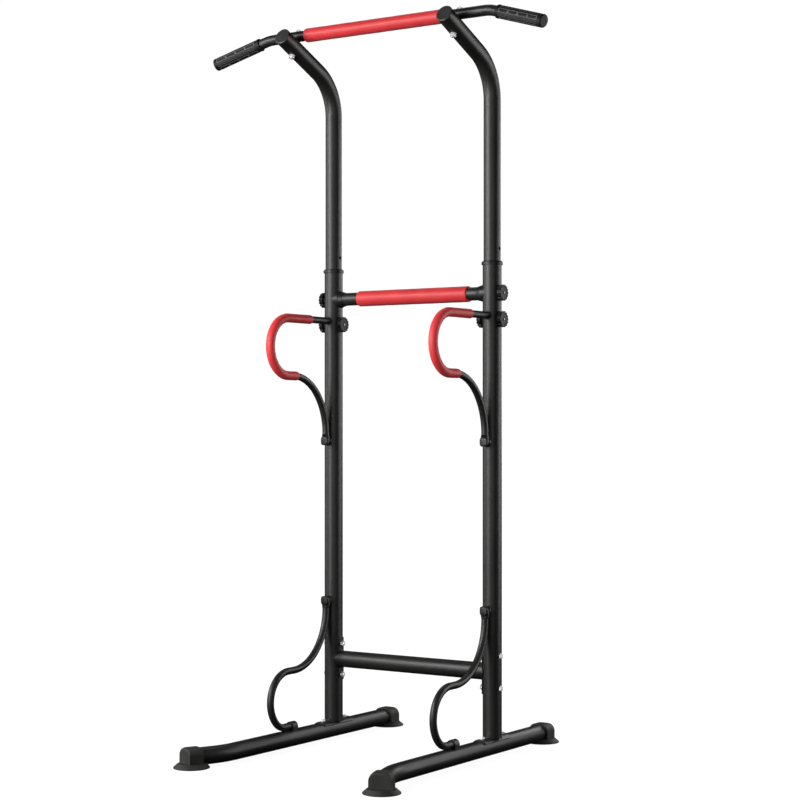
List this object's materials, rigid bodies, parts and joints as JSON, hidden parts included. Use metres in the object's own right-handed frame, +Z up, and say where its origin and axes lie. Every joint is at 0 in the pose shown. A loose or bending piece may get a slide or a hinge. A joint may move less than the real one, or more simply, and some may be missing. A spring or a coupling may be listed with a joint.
{
  "type": "power tower",
  "caption": "Free-standing power tower: height-adjustable pull-up bar with drooping grips, foam dip handles, lower braces, crossbars, clamp knobs and suction feet.",
  "frame": {"origin": "on the floor, at the middle of the box around the object", "axes": "+Z up; -Y to the front, the way the leaning tops and the dip handles point; +X to the right seen from the front"},
  "size_m": [1.0354, 0.912, 1.9144],
  "materials": {
    "black_steel": "satin",
    "black_plastic": "matte",
    "black_rubber": "matte",
    "red_foam": "matte",
    "zinc_steel": "satin"
  },
  "bodies": {
    "base_frame": {"base_tube_left": "black_steel", "base_tube_right": "black_steel", "foot_front_left": "black_rubber", "foot_front_right": "black_rubber", "foot_rear_left": "black_rubber", "foot_rear_right": "black_rubber", "lower_upright_left": "black_steel", "lower_upright_right": "black_steel", "upright_flanges": "black_steel", "frame_bolts": "zinc_steel", "frame_nuts": "zinc_steel", "low_crossbar": "black_steel", "crossbar_plates": "black_steel", "collar_left": "black_plastic", "collar_right": "black_plastic", "dip_handle_left": "black_steel", "dip_handle_right": "black_steel", "dip_foam_left": "red_foam", "dip_foam_right": "red_foam", "brace_left": "black_steel", "brace_right": "black_steel", "brace_sockets": "black_steel", "leg_spacers": "black_steel", "leg_bolts": "black_steel", "leg_caps": "black_plastic", "mid_crossbar": "black_steel", "mid_foam": "red_foam", "crossbar_cup_left": "black_plastic", "crossbar_cup_right": "black_plastic", "weld_nuts": "zinc_steel"},
    "upper_frame": {"upper_upright_left": "black_steel", "upper_upright_right": "black_steel", "top_plugs": "black_plastic", "guide_bushes": "black_plastic", "pull_up_bar": "black_steel", "pull_up_foam": "red_foam", "grip_left": "black_rubber", "grip_right": "black_rubber", "pull_up_bolts": "zinc_steel", "pull_up_nuts": "zinc_steel", "arch_washers": "zinc_steel"},
    "thrust_washer_mid_left": {"washer_mid_left": "black_plastic"},
    "clamp_knob_mid_left": {"knob_mid_left": "black_plastic", "stud_mid_left": "zinc_steel"},
    "thrust_washer_mid_right": {"washer_mid_right": "black_plastic"},
    "clamp_knob_mid_right": {"knob_mid_right": "black_plastic", "stud_mid_right": "zinc_steel"},
    "thrust_washer_left_outer": {"washer_left_outer": "black_plastic"},
    "clamp_knob_left_outer": {"knob_left_outer": "black_plastic", "stud_left_outer": "zinc_steel"},
    "thrust_washer_left_inner": {"washer_left_inner": "black_plastic"},
    "clamp_knob_left_inner": {"knob_left_inner": "black_plastic", "stud_left_inner": "zinc_steel"},
    "thrust_washer_right_outer": {"washer_right_outer": "black_plastic"},
    "clamp_knob_right_outer": {"knob_right_outer": "black_plastic", "stud_right_outer": "zinc_steel"},
    "thrust_washer_right_inner": {"washer_right_inner": "black_plastic"},
    "clamp_knob_right_inner": {"knob_right_inner": "black_plastic", "stud_right_inner": "zinc_steel"}
  },
  "joints": [
    {"name": "height_slide", "type": "slide", "parent": "base_frame", "child": "upper_frame", "axis": [0, 0, 1], "range_m": [-0.183, 0.061]},
    {"name": "knob_travel_mid_left", "type": "slide", "parent": "base_frame", "child": "thrust_washer_mid_left", "axis": [-1, 0, 0], "range_m": [0, 0.006]},
    {"name": "knob_turn_mid_left", "type": "hinge", "parent": "thrust_washer_mid_left", "child": "clamp_knob_mid_left", "pos_m": [-0.2535, 0.149, 1.201], "axis": [-1, 0, 0], "range_deg": [0, 1440]},
    {"name": "knob_travel_mid_right", "type": "slide", "parent": "base_frame", "child": "thrust_washer_mid_right", "axis": [1, 0, 0], "range_m": [0, 0.006]},
    {"name": "knob_turn_mid_right", "type": "hinge", "parent": "thrust_washer_mid_right", "child": "clamp_knob_mid_right", "pos_m": [0.2535, 0.149, 1.201], "axis": [1, 0, 0], "range_deg": [0, 1440]},
    {"name": "knob_travel_left_outer", "type": "slide", "parent": "base_frame", "child": "thrust_washer_left_outer", "axis": [-1, 0, 0], "range_m": [0, 0.006]},
    {"name": "knob_turn_left_outer", "type": "hinge", "parent": "thrust_washer_left_outer", "child": "clamp_knob_left_outer", "pos_m": [-0.2535, 0.149, 1.1325], "axis": [-1, 0, 0], "range_deg": [0, 1440]},
    {"name": "knob_travel_left_inner", "type": "slide", "parent": "base_frame", "child": "thrust_washer_left_inner", "axis": [1, 0, 0], "range_m": [0, 0.006]},
    {"name": "knob_turn_left_inner", "type": "hinge", "parent": "thrust_washer_left_inner", "child": "clamp_knob_left_inner", "pos_m": [-0.2535, 0.149, 1.1325], "axis": [1, 0, 0], "range_deg": [0, 1440]},
    {"name": "knob_travel_right_outer", "type": "slide", "parent": "base_frame", "child": "thrust_washer_right_outer", "axis": [1, 0, 0], "range_m": [0, 0.006]},
    {"name": "knob_turn_right_outer", "type": "hinge", "parent": "thrust_washer_right_outer", "child": "clamp_knob_right_outer", "pos_m": [0.2535, 0.149, 1.1325], "axis": [1, 0, 0], "range_deg": [0, 1440]},
    {"name": "knob_travel_right_inner", "type": "slide", "parent": "base_frame", "child": "thrust_washer_right_inner", "axis": [-1, 0, 0], "range_m": [0, 0.006]},
    {"name": "knob_turn_right_inner", "type": "hinge", "parent": "thrust_washer_right_inner", "child": "clamp_knob_right_inner", "pos_m": [0.2535, 0.149, 1.1325], "axis": [-1, 0, 0], "range_deg": [0, 1440]}
  ],
  "couplings": [
    {"joint": "knob_travel_mid_left", "follows": "knob_turn_mid_left", "m_per_rad": 0.00023873},
    {"joint": "knob_travel_mid_right", "follows": "knob_turn_mid_right", "m_per_rad": 0.00023873},
    {"joint": "knob_travel_left_outer", "follows": "knob_turn_left_outer", "m_per_rad": 0.00023873},
    {"joint": "knob_travel_left_inner", "follows": "knob_turn_left_inner", "m_per_rad": 0.00023873},
    {"joint": "knob_travel_right_outer", "follows": "knob_turn_right_outer", "m_per_rad": 0.00023873},
    {"joint": "knob_travel_right_inner", "follows": "knob_turn_right_inner", "m_per_rad": 0.00023873}
  ]
}
